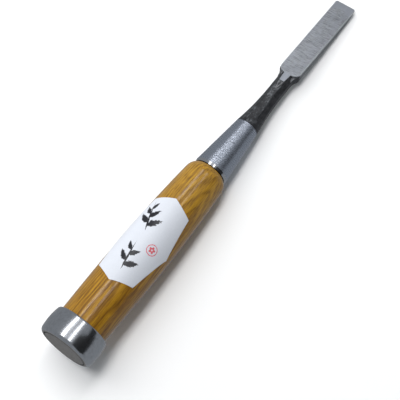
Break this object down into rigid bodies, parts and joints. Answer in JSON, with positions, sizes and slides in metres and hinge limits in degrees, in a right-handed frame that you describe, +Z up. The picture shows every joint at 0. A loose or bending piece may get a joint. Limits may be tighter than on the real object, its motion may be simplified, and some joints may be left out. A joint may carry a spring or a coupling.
{
  "type": "mortise chisel",
  "caption": "Struck chisel for mortises: flat-backed laminated blade with a ground bevel below, conical ferrule, turned oak handle with a steel striking cap and a paper label.",
  "frame": {"origin": "on the floor, under the middle of the tool as it lies", "axes": "+X along the tool towards the cutting edge, +Z up, out of the blade's flat back, +Y across the tool"},
  "size_m": [0.2394, 0.03, 0.0344],
  "materials": {
    "cap_steel": "polished round the side, matt on the struck face",
    "oak": "clear gloss lacquer",
    "ferrule_steel": "fine satin, polished bevel",
    "forged_iron": "black forging scale, ground sides and underside on the blade",
    "hard_steel": "finely ground",
    "label_paper": "smooth coated paper"
  },
  "bodies": {
    "root": {"striking_cap": "cap_steel", "handle": "oak", "ferrule": "ferrule_steel", "blade_body": "forged_iron", "cutting_steel": "hard_steel", "label": "label_paper"}
  },
  "joints": []
}
